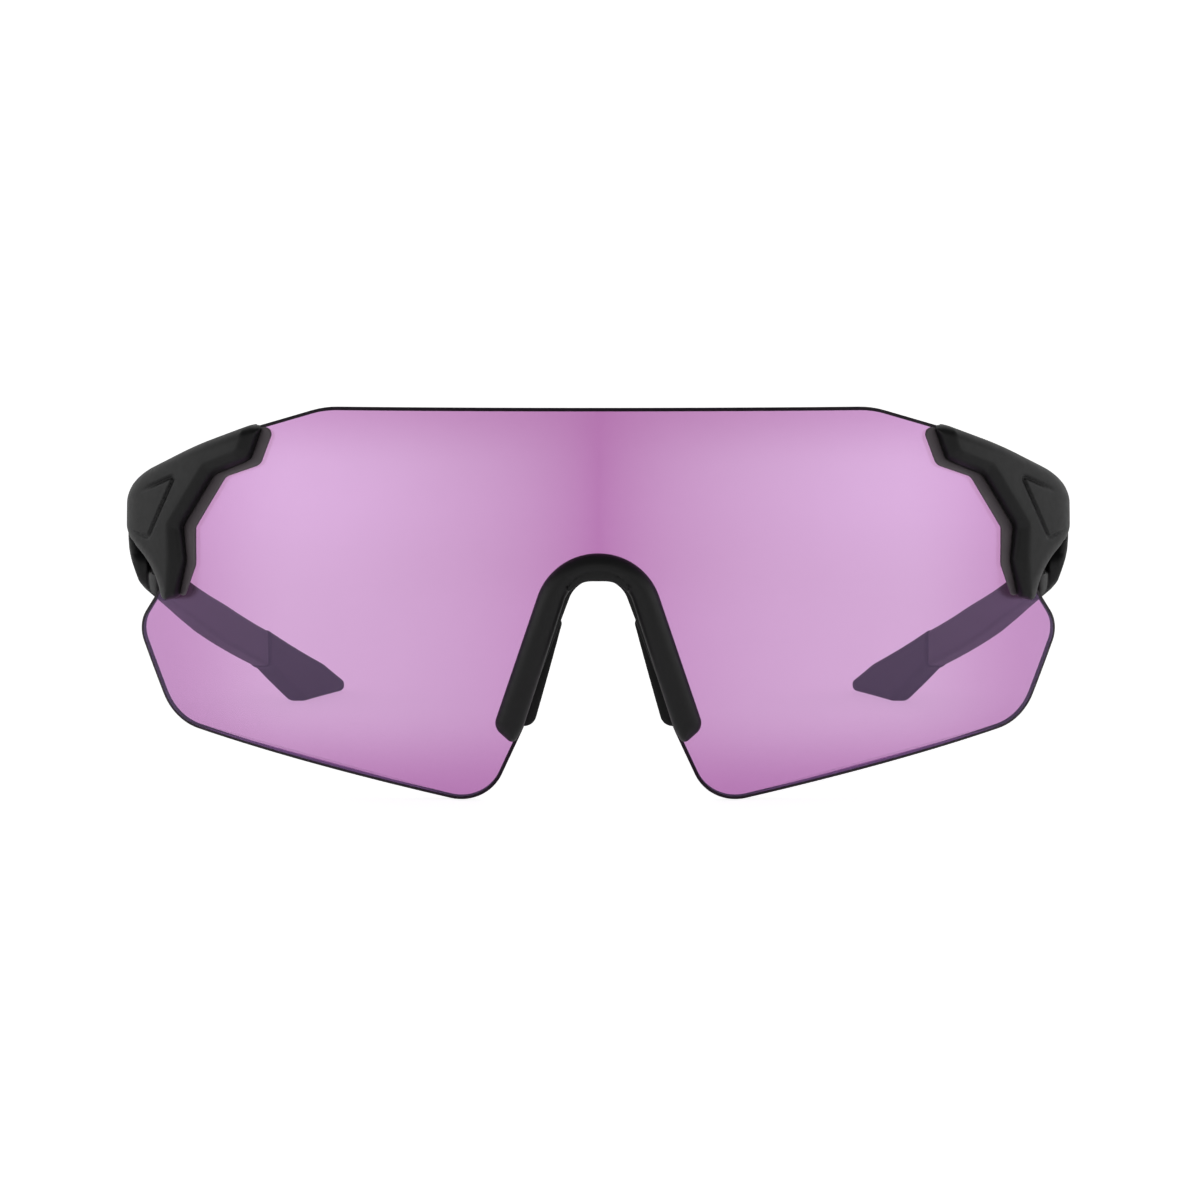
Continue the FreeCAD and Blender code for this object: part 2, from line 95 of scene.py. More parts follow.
SEAT_GAP = 0.05
BEAD_HEIGHT = 2.4
FLANGE_THICK = 1.2
BRACKET_HEIGHT = 3.2
GASKET_THICK = 0.55
CLIP_THICK = 1.8
BRACKET_SLOPE = 0.62        # how steeply its main face falls to the inboard edge
RIDGE_RISE = 0.1
RIDGE_WIDTH = 0.35
GROOVE_DEPTH = 0.4
SIDE_WALL_X = 69.3          # inside of the bracket's side wall
HINGE_ROOT_DEPTH = (36.2, 42.3)

HINGE_X = 66.0
HINGE_DEPTH = 46.5
HINGE_Y = frame["record"]["behaviour"]["joints"][0]["pos_m"][1] / MM
APEX_Y = HINGE_Y - HINGE_DEPTH
EAR_RADIUS = 2.7
EAR_LOW = (31.0, 33.8)
EAR_HIGH = (39.2, 42.0)
SIDE_GAP = 0.15
SCREW_RADIUS = 0.8
HEAD_RADIUS = 1.4
HEAD_HEIGHT = 0.7
SKIN_INNER_X = 69.2
PARTING_GAP = 0.35
CLIP_HEAD_RADIUS = 1.2
HOLE_RADIUS = 1.2
CLIP_SCREW_POINTS = [(54.7, 50.3), (63.4, 42.2)]

ARM_START_DEPTH = 45.0
ARM_INNER_X = 67.6
ARM_BOW_RADIUS = 398.0
ARM_THICK = 3.4
ARM_TAPER_DEPTHS = (48.0, 86.0)     # the root narrows to the arm between these
TIP_EXTRA = 0.25            # rubber tip, proud of the arm on each side
TIP_START_DEPTH = 126.5
TIP_END_DEPTH = 166.4

PAD_LEAN_X = 0.12           # a nose pad's drift outwards per millimetre backwards
PAD_LEAN_Z = -0.04
PAD_END_DEPTH = 13.0
NOSE_ARCH_Z = 32.6          # underside of the bead's arch
WEB_LOW_Z = 31.2            # the nose frame's web through the lens's notch stays above this

LEAN_DEPTH = 37.0
LEAN_FALL = 0.183           # how far the temple's lower edge drops per millimetre backwards


# ---------------------------------------------------------------- outlines
def signed_area(points):
    """Area inside a flat ring of points, positive if they run anticlockwise."""
    after = np.roll(points, -1, axis=0)
    return float(np.sum(points[:, 0] * after[:, 1] - after[:, 0] * points[:, 1])) / 2


class Outline:
    """A closed outline of (u, v, radius) corners, rounded with arcs. Calling it gives the
    signed distance to it, negative inside."""

    def __init__(self, corners):
        points = np.array([c[:2] for c in corners], float)
        self.starts, self.ends, self.arcs = [], [], []
        for i, (u, v, radius) in enumerate(corners):
            here = points[i]
            before = points[i - 1] - here
            after = points[(i + 1) % len(points)] - here
            before = before / np.hypot(*before)
            after = after / np.hypot(*after)
            if radius == 0:
                self.starts.append(here)
                self.ends.append(here)
                self.arcs.append(None)
                continue
            half = math.acos(np.clip(before @ after, -1, 1)) / 2
            middle = (before + after) / np.hypot(*(before + after))
            reach = radius / math.tan(half)
            self.starts.append(here + before * reach)
            self.ends.append(here + after * reach)
            centre = here + middle * radius / math.sin(half)
            self.arcs.append((centre, radius, -middle, math.sin(half)))
        self.turning = signed_area(points) > 0
        self.corners = points

    def _convex(self, i):
        before = self.corners[i] - self.corners[i - 1]
        after = self.corners[(i + 1) % len(self.corners)] - self.corners[i]
        return (before[0] * after[1] - before[1] * after[0] > 0) == self.turning

    def __call__(self, u, v):
        count = len(self.starts)
        nearest = np.full(np.shape(u), np.inf)
        inside = np.zeros(np.shape(u), bool)
        chain = [p for pair in zip(self.starts, self.ends) for p in pair]
        for a, b in zip(chain, chain[1:] + chain[:1]):
            if a[1] == b[1]:
                continue
            crosses = (a[1] > v) != (b[1] > v)
            inside ^= crosses & (u < a[0] + (v - a[1]) * (b[0] - a[0]) / (b[1] - a[1]))
        for i in range(count):
            a, b = self.ends[i], self.starts[(i + 1) % count]
            run = b - a
            along = ((u - a[0]) * run[0] + (v - a[1]) * run[1]) / max(run @ run, 1e-12)
            along = np.clip(along, 0, 1)
            gap = np.hypot(u - a[0] - along * run[0], v - a[1] - along * run[1])
            nearest = np.minimum(nearest, gap)
        for i, arc in enumerate(self.arcs):
            if arc is None:
                continue
            centre, radius, middle, limit = arc
            du, dv = u - centre[0], v - centre[1]
            reach = np.hypot(du, dv)
            ahead = du * middle[0] + dv * middle[1]
            in_sector = ahead >= reach * limit
            nearest = np.where(in_sector, np.minimum(nearest, abs(reach - radius)), nearest)
            cap = (reach < radius) & (ahead > radius * limit)
            inside = (inside | cap) if self._convex(i) else (inside & ~cap)
        return np.where(inside, -nearest, nearest)

    def trace(self, spacing):
        """Points along the outline, at most spacing apart, with their outward normals."""
        path = []
        count = len(self.starts)
        for i in range(count):
            if self.arcs[i] is None:
                path.append(self.ends[i])
            else:
                centre, radius, middle, limit = self.arcs[i]
                sweep = math.acos(limit)
                first = self.starts[i] - centre
                turn = first[0] * middle[1] - first[1] * middle[0]
                sign = 1 if turn > 0 else -1
                steps = max(2, math.ceil(2 * sweep / math.radians(5)))
                begin = math.atan2(first[1], first[0])
                for k in range(steps + 1):
                    angle = begin + sign * 2 * sweep * k / steps
                    path.append(centre + radius * np.array([math.cos(angle), math.sin(angle)]))
            a, b = self.ends[i], self.starts[(i + 1) % count]
            steps = math.ceil(np.hypot(*(b - a)) / spacing)
            path += [a + (b - a) * k / steps for k in range(1, steps)]
        path = np.array(path)
        keep = np.hypot(*(path - np.roll(path, 1, axis=0)).T) > 1e-4
        path = path[keep]
        tangent = np.roll(path, -1, axis=0) - np.roll(path, 1, axis=0)
        tangent /= np.hypot(*tangent.T)[:, None]
        outward = np.column_stack([tangent[:, 1], -tangent[:, 0]])
        return path, outward if self.turning else -outward


def both_sides(half):
    return half + [(-x, z, r) for x, z, r in reversed(half)]


LENS_HOLES = [(side * x, z) for x, z in CLIP_SCREW_POINTS for side in (1, -1)]
LENS = Outline(both_sides([
    (3.6, 34.0, 4.0),
    (10.75, 11.2, 14.0),
    (16.3, -0.95, 6.85),
    (65.0, 9.0, 8.0),
    (70.9, 23.4, 5.0),
    (65.8, 30.7, 0),
    (65.8, 43.0, 4.0),
    (62.4, 49.2, 4.0),
    (51.0, 54.14, 3.0),
    (40.4, LENS_TOP, 14.0),
]))
BEAD = Outline(both_sides([
    (6.65, 36.5, 9.2),
    (15.2, 11.2, 2.0),
    (12.3, 8.6, 0.8),
    (10.9, 11.0, 6.0),
    (3.95, NOSE_ARCH_Z, 4.2),
]))
FLANGE = Outline(both_sides([
    (5.9, 35.7, 7.8),
    (13.9, 11.6, 1.6),
    (11.6, 10.0, 0.8),
    (3.15, NOSE_ARCH_Z, 4.2),
]))
PAD = Outline([(4.75, 27.3, 1.1), (8.95, 11.1, 1.8), (11.8, 11.1, 0.9), (8.0, 27.3, 1.1)])
BRACKET_FRONT = Outline([
    (49.35, 54.4, 0.8),
    (51.3, 49.15, 1.3),
    (57.2, 46.8, 1.6),
    (62.15, 39.1, 1.6),
    (61.45, 33.9, 3.0),
    (63.1, 28.3, 1.2),
    (65.9, 27.7, 0.9),
    (67.4, 33.2, 11.5),
    (74.0, 38.2, 0),
    (74.0, 42.7, 0),
    (69.2, 47.0, 12.0),
    (60.25, 51.3, 60.0),
    (51.7, 54.4, 2.0),
])
BRACKET_FACE = Outline([
    (51.6, 57.0, 0),
    (53.7, 50.6, 1.5),
    (59.1, 48.5, 2.0),
    (65.05, 39.2, 2.0),
    (64.8, 34.0, 4.0),
    (65.2, 24.0, 0),
    (75.0, 24.0, 0),
    (75.0, 57.0, 0),
])
GROOVE = Outline([(63.55, 46.7, 0.3), (68.1, 37.2, 0.3), (78.0, 40.1, 0), (78.0, 40.3, 0)])
BRACKET_PLAN = Outline([
    (20.0, -20.0, 0),
    (HALF_WIDTH - 9.6, 19.0, 0),
    (HALF_WIDTH - 0.75, 33.0, 12.0),
    (HALF_WIDTH, 48.0, 0),
    (HALF_WIDTH, 60.0, 0),
    (20.0, 60.0, 0),
])
BRACKET_SIDE = Outline([
    (-5.0, 60.0, 0),
    (34.0, 60.0, 0),
    (34.0, 46.4, 2.0),
    (38.5, 43.9, 6.0),
    (46.5 - PARTING_GAP, 43.9, 0),
    (40.5 - PARTING_GAP, 36.2, 0),
    (40.5 - PARTING_GAP, 20.0, 0),
    (-5.0, 20.0, 0),
])
LENS_END = [
    (65.65, 29.6, 0.6),
    (65.65, 42.9, 4.0),
    (61.7, 48.45, 4.0),
    (50.75, 53.95, 3.0),
]
GASKET = Outline([
    (47.9, 54.2, 1.0),
    (50.0, 48.55, 1.6),
    (55.5, 46.65, 1.5),
    (60.4, 38.9, 1.2),
    (60.3, 33.4, 2.0),
    (62.2, 28.4, 0.7),
] + LENS_END)
CLIP = Outline([
    (48.5, 54.1, 1.0),
    (50.5, 48.5, 1.6),
    (56.0, 46.6, 1.5),
    (61.0, 38.9, 1.2),
    (60.95, 33.5, 2.0),
    (62.7, 28.8, 0.7),
] + LENS_END)
TEMPLE_SIDE = Outline([
    (46.5, 43.8, 0.5),
    (51.0, 43.8, 9.0),
    (64.0, 29.3, 25.0),
    (100.0, 21.6, 300.0),
    (TIP_START_DEPTH, 14.9, 0),
    (TIP_START_DEPTH, 8.5, 0),
    (72.0, 21.9, 300.0),
    (37.0, 28.3, 4.0),
    (36.6, 33.5, 2.5),
    (40.5, 36.1, 1.0),
])
# What the temple loses along its lower outer edge, as (x, z, radius) at LEAN_DEPTH.
LEAN = Outline([
    (74.0, 39.6, 0),
    (70.85, 30.05, 2.0),
    (68.8, 27.4, 0),
    (68.8, -20.0, 0),
    (90.0, -20.0, 0),
    (90.0, 39.6, 0),
])
TIP_SIDE = Outline([
    (TIP_START_DEPTH, 15.1, 0.6),
    (156.5, 6.2, 25.0),
    (TIP_END_DEPTH + 0.26, 2.0, 1.2),
    (TIP_END_DEPTH - 0.2, 0.0, 0.9),
    (147.0, 0.0, 4.0),
    (129.5, 7.6, 8.0),
    (TIP_START_DEPTH, 8.3, 0.6),
])


# ---------------------------------------------------------------- fields
def meet(a, b, radius):
    """The common part of two fields, with the edge between them rounded."""
    corner = np.hypot(np.maximum(a + radius, 0), np.maximum(b + radius, 0))
    return np.minimum(np.maximum(a, b), -radius) + corner


def join(a, b, radius):
    """The union of two fields, with a fillet between them."""
    return -meet(-a, -b, radius)


def between(value, low, high):
    return np.maximum(low - value, value - high)


def ramp(value, low, high):
    """0 below low, 1 above high, smooth between."""
    t = np.clip((value - low) / (high - low), 0, 1)
    return t * t * (3 - 2 * t)


def box_field(x, d, z, x_range, d_range, z_range, radius):
    flat = meet(between(x, *x_range), between(d, *d_range), radius)
    return meet(flat, between(z, *z_range), radius)


def pin_field(x, d, z, radius, z_range, edge=0.05):
    """An upright round bar on the hinge's axis."""
    return meet(np.hypot(x - HINGE_X, d - HINGE_DEPTH) - radius, between(z, *z_range), edge)


def height(x, d, z):
    """Height above the lens's front surface."""
    return np.sqrt(x**2 + (d - LENS_RADIUS) ** 2 + (z - OPTICAL_Z) ** 2) - LENS_RADIUS


def bow(x, d):
    """Distance outwards from the temple's bowed inner face."""
    return np.hypot(x - ARM_INNER_X + ARM_BOW_RADIUS, d - ARM_START_DEPTH) - ARM_BOW_RADIUS


def bracket_field(x, d, z):
    h = height(x, d, z)
    # The main face, sloping down to the inboard edge from a slightly raised ridge.
    from_ridge = BRACKET_FACE(x, z)
    slope = (h - BRACKET_HEIGHT + BRACKET_SLOPE * from_ridge) / math.hypot(1, BRACKET_SLOPE)
    outer = meet(h - BRACKET_HEIGHT, slope, 0.4)
    outer = meet(outer, BRACKET_PLAN(x, d), 2.0)
    ridge = np.exp(-((from_ridge / RIDGE_WIDTH) ** 2)) * (1 - ramp(x, 66.0, 68.0))
    # The groove follows its outline, and fades out where the face turns into the side.
    fade = 1 - ramp(x + 0.35 * (z - 37), 69.5, 72.5)
    groove = (1 - ramp(abs(GROOVE(x, z)), 0.02, 0.38)) * fade
    outer = outer - RIDGE_RISE * ridge + GROOVE_DEPTH * groove
    body = meet(outer, BRACKET_FRONT(x, z), 1.5)
    body = meet(body, BRACKET_SIDE(d, z), 0.25)
    # Hollow behind the lens's end and inside the side wall, with room for the lens, its
    # gasket and the temple's cover, which reaches forward under the side wall.
    inside = np.maximum(h + LENS_THICK + CLIP_THICK + SEAT_GAP, x - SIDE_WALL_X)
    pocket = np.maximum(LENS(x, z) - 0.15, h - SEAT_GAP)
    cover_room = np.maximum(np.maximum(68.9 - x, 33.0 - d), z - 36.4)
    gasket_room = np.maximum(GASKET(x, z), h - GASKET_THICK - 2 * SEAT_GAP)
    for room in (inside, pocket, gasket_room, cover_room):
        body = meet(body, -room, 0.15)
    # Hinge: a block behind the lens's end, a bridge to the side wall, and two ears.
    ear_x = (HINGE_X - EAR_RADIUS, HINGE_X + EAR_RADIUS)
    root = box_field(x, d, z, ear_x, HINGE_ROOT_DEPTH, (EAR_LOW[0], EAR_HIGH[1]), 0.4)
    bridge_x = (ear_x[1] - 1, 70.5)
    bridge = box_field(x, d, z, bridge_x, HINGE_ROOT_DEPTH, (36.5, EAR_HIGH[1]), 0.3)
    bridge = meet(bridge, BRACKET_SIDE(d, z), 0.25)
    hinge = join(root, bridge, 0.3)
    for ear in (EAR_LOW, EAR_HIGH):
        strap = box_field(x, d, z, ear_x, (37.0, HINGE_DEPTH), ear, 0.25)
        hinge = join(hinge, join(strap, pin_field(x, d, z, EAR_RADIUS, ear, 0.3), 0.05), 0.4)
    body = join(body, hinge, 0.3)
    clip_room = np.maximum(CLIP(x, z), between(h, -LENS_THICK - CLIP_THICK - 0.1, 0))
    body = meet(body, -clip_room, 0.1)
    head_room = pin_field(x, d, z, HEAD_RADIUS + 0.1, (EAR_HIGH[1] - HEAD_HEIGHT - 0.1, 50))
    bore = pin_field(x, d, z, SCREW_RADIUS + 0.05, (20, 50))
    return meet(body, -np.minimum(head_room, bore), 0.08)


def gasket_field(x, d, z):
    h = height(x, d, z)
    body = meet(GASKET(x, z), h - SEAT_GAP - GASKET_THICK, 0.3)
    return meet(body, SEAT_GAP - h, 0.05)


def clip_field(x, d, z):
    h = height(x, d, z)
    back = -LENS_THICK - CLIP_THICK
    body = meet(CLIP(x, z), back - h, 0.5)
    body = meet(body, h + LENS_THICK + SEAT_GAP, 0.1)
    for point in CLIP_SCREW_POINTS:
        reach, _ = along_normal(point, x, d, z)
        body = meet(body, SCREW_RADIUS + 0.1 - reach, 0.1)
    return body


def nose_frame_field(x, d, z):
    h = height(x, d, z)
    rear = -LENS_THICK - SEAT_GAP
    x = abs(x)
    outline = BEAD(x, z)
    bead = meet(meet(outline, h - BEAD_HEIGHT, 1.9), SEAT_GAP - h, 0.1)
    web = meet(outline, between(h, rear - FLANGE_THICK, BEAD_HEIGHT), 0.4)
    web = meet(web, SEAT_GAP - LENS(x, z), 0.05)
    web = np.maximum(web, WEB_LOW_Z - z)
    flange = meet(FLANGE(x, z), between(h, rear - FLANGE_THICK, rear), 0.3)
    return np.minimum(np.minimum(bead, web), flange)


def nose_pad_field(x, d, z):
    h = height(x, d, z)
    back = d - 2.0
    section = PAD(x - PAD_LEAN_X * back, z - PAD_LEAN_Z * back) / math.hypot(1, PAD_LEAN_X)
    body = meet(section, d - PAD_END_DEPTH, 1.1)
    return meet(body, h + LENS_THICK + FLANGE_THICK + 2 * SEAT_GAP, 0.2)


def temple_field(x, d, z):
    b = bow(x, d)
    root = 1 - ramp(d, *ARM_TAPER_DEPTHS)
    outer = b - ARM_THICK - (HALF_WIDTH - ARM_INNER_X - ARM_THICK) * root
    side = TEMPLE_SIDE(d, z)
    outer = meet(outer, -LEAN(x, z + LEAN_FALL * (d - LEAN_DEPTH)), 0.6)
    body = meet(meet(outer, side, 0.9), -b, 0.7)
    room = np.maximum(x - SKIN_INNER_X, d - HINGE_DEPTH - EAR_RADIUS - 0.35)
    body = meet(body, -room, 0.25)
    knuckle_z = (EAR_LOW[1] + SIDE_GAP, EAR_HIGH[0] - SIDE_GAP)
    knuckle = pin_field(x, d, z, EAR_RADIUS, knuckle_z, 0.25)
    web_depth = (HINGE_DEPTH - EAR_RADIUS, HINGE_DEPTH + 6.0)
    web = box_field(x, d, z, (HINGE_X, SKIN_INNER_X + 0.5), web_depth, knuckle_z, 0.2)
    body = join(body, np.minimum(knuckle, web), 0.35)
    return meet(body, -pin_field(x, d, z, SCREW_RADIUS + 0.05, (20, 50)), 0.08)


def tip_field(x, d, z):
    b = bow(x, d)
    side = TIP_SIDE(d, z)
    body = meet(side, b - ARM_THICK - TIP_EXTRA, 1.3)
    return meet(body, -TIP_EXTRA - b, 1.0)


def along_normal(point, x, d, z):
    """Distance from the lens's normal line at a front-view point, and height along it."""
    foot = np.array([point[0], 0.0, point[1]])
    rise = point[1] - OPTICAL_Z
    foot[1] = LENS_RADIUS - math.sqrt(LENS_RADIUS**2 - point[0] ** 2 - rise**2)
    normal = (foot - np.array([0, LENS_RADIUS, OPTICAL_Z])) / LENS_RADIUS
    offset = np.stack([x - foot[0], d - foot[1], z - foot[2]])
    high = np.tensordot(normal, offset, 1)
    flat = offset - normal.reshape(-1, *[1] * (offset.ndim - 1)) * high
    return np.sqrt(np.sum(flat**2, axis=0)), high


def screw_head(reach, up, across, radius):
    """A low domed head on a plane at up = 0, with a slot along across = 0."""
    dome = np.hypot(reach, up + 2.2) - (2.2 + HEAD_HEIGHT)
    head = meet(meet(reach - radius, dome, 0.15), -up, 0.05)
    slot = np.maximum(abs(across) - 0.22, HEAD_HEIGHT - 0.35 - up)
    return meet(head, -slot, 0.05)


def clip_screw_field(point):
    def field(x, d, z):
        reach, high = along_normal(point, x, d, z)
        seat = -LENS_THICK - CLIP_THICK - SEAT_GAP
        across = (z - point[1]) * 0.9 + (x - point[0]) * 0.4
        head = screw_head(reach, seat - high, across, CLIP_HEAD_RADIUS)
        shank = meet(reach - SCREW_RADIUS, between(high, seat - 0.1, 1.5), 0.1)
        return np.minimum(head, shank)
    return field


def hinge_screw_field(x, d, z):
    seat = EAR_HIGH[1] - HEAD_HEIGHT
    reach = np.hypot(x - HINGE_X, d - HINGE_DEPTH)
    across = (d - HINGE_DEPTH) * 0.8 + (x - HINGE_X) * 0.6
    head = screw_head(reach, z - seat, across, HEAD_RADIUS)
    shank = meet(reach - SCREW_RADIUS, between(z, EAR_LOW[0] + 0.3, seat + 0.1), 0.15)
    return np.minimum(head, shank)


# ---------------------------------------------------------------- meshing
def sample(field, axes, step):
    """The field on a grid. Far from the surface, only every eighth point is worked out."""
    block = 8
    rough_axes = [a[::block] + 0.5 * block * step for a in axes]
    rough = field(*np.meshgrid(*rough_axes, indexing="ij"))
    full = rough
    for axis, line in enumerate(axes):
        full = np.repeat(full, block, axis=axis)
        full = full.take(range(len(line)), axis=axis)
    near = abs(full) < 1.4 * block * step
    where = np.nonzero(near)
    full[where] = field(*[line[index] for line, index in zip(axes, where)])
    return full


def surface(field, low, high, step):
    """Points and quads on the field's zero surface, one point per crossed grid cell."""
    axes = [np.arange(a - 2 * step, b + 3 * step, step) for a, b in zip(low, high)]
    value = sample(field, axes, step)
    solid = value < 0
    cells = tuple(n - 1 for n in value.shape)
    total = np.zeros((math.prod(cells), 3))
    hits = np.zeros(math.prod(cells))
    quads = []
    for axis in range(3):
        first = [slice(None)] * 3
        second = [slice(None)] * 3
        first[axis] = slice(None, -1)
        second[axis] = slice(1, None)
        first, second = tuple(first), tuple(second)
        spots = np.argwhere(solid[first] != solid[second])
        a = value[first][tuple(spots.T)]
        b = value[second][tuple(spots.T)]
        crossing = spots.astype(float)
        crossing[:, axis] += a / (a - b)
        u, v = (axis + 1) % 3, (axis + 2) % 3
        around = []
        for du, dv in ((0, 0), (-1, 0), (-1, -1), (0, -1)):
            cell = spots.copy()
            cell[:, u] += du
            cell[:, v] += dv
            around.append(np.ravel_multi_index(tuple(cell.T), cells))
        for flat in around:
            for k in range(3):
                total[:, k] += np.bincount(flat, crossing[:, k], len(hits))
            hits += np.bincount(flat, minlength=len(hits))
        quad = np.stack(around, axis=1)
        quad[a > 0] = quad[a > 0][:, ::-1]
        quads.append(quad)
    used = np.nonzero(hits)[0]
    number = np.zeros(len(hits), int)
    number[used] = np.arange(len(used))
    points = total[used] / hits[used, None] * step + [line[0] for line in axes]
    return settle(field, points), number[np.concatenate(quads)]


def settle(field, points, rounds=3):
    """Moves points along the field's slope until they lie on its surface."""
    small = 0.01
    for _ in range(rounds):
        value = field(*points.T)
        slope = np.zeros_like(points)
        for axis in range(3):
            shift = np.zeros(3)
            shift[axis] = small
            slope[:, axis] = field(*(points + shift).T) - field(*(points - shift).T)
        slope /= 2 * small
        size = np.maximum(np.sum(slope**2, axis=1), 0.25)
        points = points - np.clip(value / size, -0.2, 0.2)[:, None] * slope
    return points


def to_frame(points):
    """Metres in the row's frame, from (x, depth, z) in millimetres."""
    return (np.asarray(points, float) + [0, APEX_Y, 0]) * MM


def new_object(name, points, faces, materials, face_materials=None):
    mesh = bpy.data.meshes.new(name)
    mesh.from_pydata(to_frame(points).tolist(), [], [list(map(int, f)) for f in faces])
    for material in materials:
        mesh.materials.append(material)
    if face_materials is not None:
        mesh.polygons.foreach_set("material_index", face_materials)
    mesh.polygons.foreach_set("use_smooth", [True] * len(mesh.polygons))
    mesh.update()
    piece = bpy.data.objects.new(name, mesh)
    bpy.context.scene.collection.objects.link(piece)
    return piece


def flipped(points, faces):
    """The mirror image in the mid plane, with its faces still outwards."""
    return points * [-1, 1, 1], faces[:, ::-1]


def dress(piece, body, slot, *nodes):
    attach(piece, body)
    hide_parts(*nodes)


def moulded(node, field, low, high, step, material, slot, body="front"):
    """One piece per side from a field on the left, in place of the CAD nodes."""
    points, faces = surface(field, low, high, step)
    for side in ("left", "right"):
        if side == "right":
            points, faces = flipped(points, faces)
        name = side + "_" + node
        piece = new_object(name + "_look", points, faces, [material])
        rides = body if body == "front" else side + "_" + body
        dress(piece, rides, slot, name)


def ball_point(flat, h):
    """The point at height h on the lens's normal through a front-view point."""
    x, rise = flat[:, 0], flat[:, 1] - OPTICAL_Z
    depth = LENS_RADIUS - np.sqrt(LENS_RADIUS**2 - x**2 - rise**2)
    foot = np.column_stack([x, depth, flat[:, 1]])
    centre = np.array([0, LENS_RADIUS, OPTICAL_Z])
    return centre + (foot - centre) * (1 + h / LENS_RADIUS)


def make_clip_screws(steel):
    """Both clip screws of a side in one piece, found one at a time."""
    points, faces = np.empty((0, 3)), np.empty((0, 4), int)
    for spot in CLIP_SCREW_POINTS:
        foot = ball_point(np.array([spot]), -LENS_THICK)[0]
        more, quads = surface(clip_screw_field(spot), foot - 3.4, foot + 3.4, 0.1)
        faces = np.concatenate([faces, quads + len(points)])
        points = np.concatenate([points, more])
    for side in ("left", "right"):
        if side == "right":
            points, faces = flipped(points, faces)
        name = side + "_clip_screws"
        dress(new_object(name + "_look", points, faces, [steel]), "front", "steel", name)


# ---------------------------------------------------------------- lens
def at_height(flat, h):
    """The point at height h straight behind or before a front-view point."""
    radius = LENS_RADIUS + h
    rise = flat[:, 1] - OPTICAL_Z
    depth = LENS_RADIUS - np.sqrt(radius**2 - flat[:, 0] ** 2 - rise**2)
    return np.column_stack([flat[:, 0], depth, flat[:, 1]])


def lens_flat_mesh(rings, spacing):
    """Triangles over the lens in front view, from its rings and a grid inside them."""
    flat = [p for ring in rings for p in ring]
    edges = []
    start = 0
    for ring in rings:
        count = len(ring)
        edges += [(start + i, start + (i + 1) % count) for i in range(count)]
        start += count
    xs = np.arange(-HALF_WIDTH + 1, HALF_WIDTH - 1, spacing)
    zs = np.arange(0, LENS_TOP, spacing)
    grid = np.array([(x + (j % 2) * spacing / 2, z) for j, z in enumerate(zs) for x in xs])
    keep = LENS(*grid.T) < -EDGE_BEVEL - 0.5 * spacing
    for cx, cz in LENS_HOLES:
        keep &= np.hypot(grid[:, 0] - cx, grid[:, 1] - cz) > HOLE_RADIUS + 0.5 * spacing
    flat += list(grid[keep])
    points, _, triangles, *_ = delaunay_2d_cdt([Vector(p) for p in flat], edges, [], 0, 1e-5)
    points = np.array([tuple(p) for p in points])
    triangles = np.array(triangles)
    middle = points[triangles].mean(axis=1)
    inside = LENS(*middle.T) < -EDGE_BEVEL * 0.9
    for cx, cz in LENS_HOLES:
        inside &= np.hypot(middle[:, 0] - cx, middle[:, 1] - cz) > HOLE_RADIUS * 0.97
    return points, triangles[inside]


def make_lens(coat, inner, edge):
    outline, outward = LENS.trace(LENS_RIM_STEP)
    turns = np.linspace(0, 2 * math.pi, HOLE_SIDES, endpoint=False)
    circle = np.column_stack([np.cos(turns), np.sin(turns)]) * HOLE_RADIUS
    holes = [circle[::-1] + centre for centre in LENS_HOLES]
    inset = outline - outward * EDGE_BEVEL
    points, triangles = lens_flat_mesh([inset] + holes, LENS_GRID)
    count = len(points)
    front = ball_point(points, 0)
    back = at_height(points, -LENS_THICK)
    verts = [front, back]
    faces = [tuple(t) for t in triangles] + [tuple(t[::-1] + count) for t in triangles]
    if signed_area(points[triangles[0]]) < 0:
        faces = [f[::-1] for f in faces]
    shiny = len(faces)
    # Bevel, side wall and back bevel, ring by ring round the outline.
    ring_count = len(inset)
    rim_front = at_height(outline, -EDGE_BEVEL)
    rim_back = at_height(outline, -LENS_THICK + EDGE_BEVEL)
    verts += [rim_front, rim_back]
    rings = [0, 2 * count, 2 * count + ring_count, count]
    forward = signed_area(inset) > 0
    for a, b in zip(rings, rings[1:]):
        for i in range(ring_count):
            j = (i + 1) % ring_count
            quad = (a + i, b + i, b + j, a + j)
            faces.append(quad if forward else quad[::-1])
    start = ring_count
    for hole in holes:
        size = len(hole)
        for i in range(size):
            j = (i + 1) % size
            faces.append((start + i, start + i + count, start + j + count, start + j))
        start += size
    kinds = [0] * (shiny // 2) + [1] * (shiny // 2) + [2] * (len(faces) - shiny)
    piece = new_object("lens_look", np.concatenate(verts), faces, [coat, inner, edge], kinds)
    piece.data.set_sharp_from_angle(angle=math.radians(SHARP_ANGLE))
    dress(piece, "front", "violet_lens", "lens")


# ---------------------------------------------------------------- materials
# The dense colour is the lens's own tint; the lighter one adds a painted reflection of the studio's side
# lights.
TINT_DENSE = (0.514, 0.199, 0.472)
TINT_WITH_PAINTED_REFLECTION = (0.745, 0.455, 0.73)
PAINTED_REFLECTION_FADE = 17.0            # millimetres from the mid plane over which the dense tint gives way to the painted reflection


def new_material(name):
    material = bpy.data.materials.new(name)
    material.use_nodes = True
    nodes = material.node_tree.nodes
    links = material.node_tree.links
    return material, nodes, links, nodes["Principled BSDF"]


def add_node(nodes, kind, **settings):
    node = nodes.new(kind)
    for key, value in settings.items():
        if hasattr(node, key):
            setattr(node, key, value)
        else:
            node.inputs[key.replace("_", " ")].default_value = value
    return node


